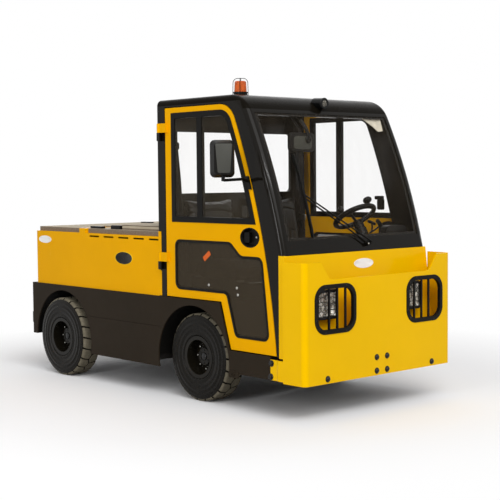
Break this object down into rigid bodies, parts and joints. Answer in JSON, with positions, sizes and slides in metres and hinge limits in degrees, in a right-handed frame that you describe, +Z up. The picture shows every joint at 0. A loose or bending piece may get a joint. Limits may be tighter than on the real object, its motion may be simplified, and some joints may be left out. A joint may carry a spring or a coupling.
{
  "type": "airport baggage tow tractor with closed cab",
  "caption": "Electric tow tractor for airport baggage carts: low dark skirts, yellow body with a board deck, closed cab with doors, front bumper plate, four wheels and a rear tow jaw.",
  "frame": {"origin": "on the ground under the middle of the vehicle's length and width", "axes": "+X forward, +Y to the vehicle's left, +Z up"},
  "size_m": [3.145, 1.6561, 2.1003],
  "materials": {
    "yellow_paint": "gloss",
    "dark_paint": "satin",
    "black_frame_paint": "satin",
    "grey_chassis_paint": "matt",
    "battery_block": "matt",
    "deck_board": "matt",
    "black_plastic": "matt",
    "black_rubber": "matt",
    "tyre_rubber": "matt",
    "cab_glass": "gloss",
    "tinted_glass": "gloss",
    "lamp_glass": "gloss",
    "rim_paint": "satin",
    "cast_steel": "matt",
    "zinc_steel": "satin",
    "seat_cover": "matt",
    "amber_lens": "gloss",
    "red_lens": "gloss",
    "lamp_body": "gloss"
  },
  "bodies": {
    "body": {"skirts": "dark_paint", "arch_liners": "black_plastic", "chassis_frame": "grey_chassis_paint", "bumper_beam": "grey_chassis_paint", "battery": "battery_block", "rear_body": "yellow_paint", "front_plate": "yellow_paint", "lamp_guards": "black_rubber", "cowl": "yellow_paint", "headlamps": "lamp_body", "headlamp_lenses": "lamp_glass", "cab_frame": "black_frame_paint", "windscreen": "cab_glass", "roof": "black_frame_paint", "rear_wall": "black_frame_paint", "rear_window": "cab_glass", "cab_floor": "black_rubber", "hinge_posts": "black_frame_paint", "front_axle": "cast_steel", "drive_axle": "cast_steel", "tow_jaw": "cast_steel", "seat_bases": "black_plastic", "seat_pads": "seat_cover", "steering_column": "black_plastic", "dashboard": "black_plastic", "pedals": "black_rubber", "interior_mirror": "black_plastic", "wiper": "black_plastic", "beacon_base": "black_plastic", "beacon_lens": "amber_lens", "roof_lamp": "lamp_body", "rear_lamps": "red_lens"},
    "door_r": {"door_right": "yellow_paint", "door_trim_right": "black_plastic", "door_glass_right": "tinted_glass", "mirror_right": "black_plastic"},
    "door_l": {"door_left": "yellow_paint", "door_trim_left": "black_plastic", "door_glass_left": "tinted_glass", "mirror_bracket_left": "black_frame_paint"},
    "lid_front": {"front_lid": "deck_board", "lid_grips": "black_plastic"},
    "lid_rear": {"rear_lid": "deck_board"},
    "knuckle_r": {"knuckle_right": "cast_steel"},
    "knuckle_l": {"knuckle_left": "cast_steel"},
    "steering_link": {"tie_rod": "zinc_steel"},
    "wheel_fr": {"rim_front_right": "rim_paint", "tyre_front_right": "tyre_rubber"},
    "wheel_fl": {"rim_front_left": "rim_paint", "tyre_front_left": "tyre_rubber"},
    "wheel_rr": {"rim_rear_right": "rim_paint", "tyre_rear_right": "tyre_rubber"},
    "wheel_rl": {"rim_rear_left": "rim_paint", "tyre_rear_left": "tyre_rubber"},
    "hand_wheel": {"steering_wheel": "black_plastic"},
    "tow_pin": {"hitch_pin": "zinc_steel"}
  },
  "joints": [
    {"name": "front_wheel_right_spin", "type": "hinge", "parent": "knuckle_r", "child": "wheel_fr", "pos_m": [0.525, -0.5455, 0.289], "axis": [0, 1, 0], "continuous": true},
    {"name": "front_wheel_left_spin", "type": "hinge", "parent": "knuckle_l", "child": "wheel_fl", "pos_m": [0.525, 0.5455, 0.289], "axis": [0, 1, 0], "continuous": true},
    {"name": "rear_wheel_right_spin", "type": "hinge", "parent": "body", "child": "wheel_rr", "pos_m": [-0.995, -0.6075, 0.289], "axis": [0, 1, 0], "continuous": true},
    {"name": "rear_wheel_left_spin", "type": "hinge", "parent": "body", "child": "wheel_rl", "pos_m": [-0.995, 0.6075, 0.289], "axis": [0, 1, 0], "continuous": true},
    {"name": "steer_left", "type": "hinge", "parent": "body", "child": "knuckle_l", "pos_m": [0.525, 0.4455, 0.289], "axis": [0, 0, 1], "range_deg": [-35, 35]},
    {"name": "steer_right", "type": "hinge", "parent": "body", "child": "knuckle_r", "pos_m": [0.525, -0.4455, 0.289], "axis": [0, 0, 1], "range_deg": [-35, 35]},
    {"name": "track_rod_pivot", "type": "hinge", "parent": "knuckle_l", "child": "steering_link", "pos_m": [0.375, 0.4455, 0.213], "axis": [0, 0, 1], "range_deg": [-35, 35]},
    {"name": "hand_wheel_turn", "type": "hinge", "parent": "body", "child": "hand_wheel", "pos_m": [1.04, 0.33, 1.19], "axis": [-0.5299, 0, 0.848], "range_deg": [-420, 420]},
    {"name": "door_right_hinge", "type": "hinge", "parent": "body", "child": "door_r", "pos_m": [0.2, -0.673, 1.3], "axis": [0, 0, -1], "range_deg": [0, 85]},
    {"name": "door_left_hinge", "type": "hinge", "parent": "body", "child": "door_l", "pos_m": [0.2, 0.673, 1.3], "axis": [0, 0, 1], "range_deg": [0, 85]},
    {"name": "front_lid_hinge", "type": "hinge", "parent": "body", "child": "lid_front", "pos_m": [-0.27, 0.629, 1.103], "axis": [-1, 0, 0], "range_deg": [0, 80]},
    {"name": "rear_lid_hinge", "type": "hinge", "parent": "body", "child": "lid_rear", "pos_m": [-0.79, 0, 1.103], "axis": [0, 1, 0], "range_deg": [0, 75]},
    {"name": "tow_pin_lift", "type": "slide", "parent": "body", "child": "tow_pin", "axis": [0, 0, 1], "range_m": [0, 0.17]}
  ],
  "couplings": [
    {"joint": "steer_right", "follows": "steer_left", "ratio": 1},
    {"joint": "track_rod_pivot", "follows": "steer_left", "ratio": -1},
    {"joint": "hand_wheel_turn", "follows": "steer_left", "ratio": 12}
  ]
}
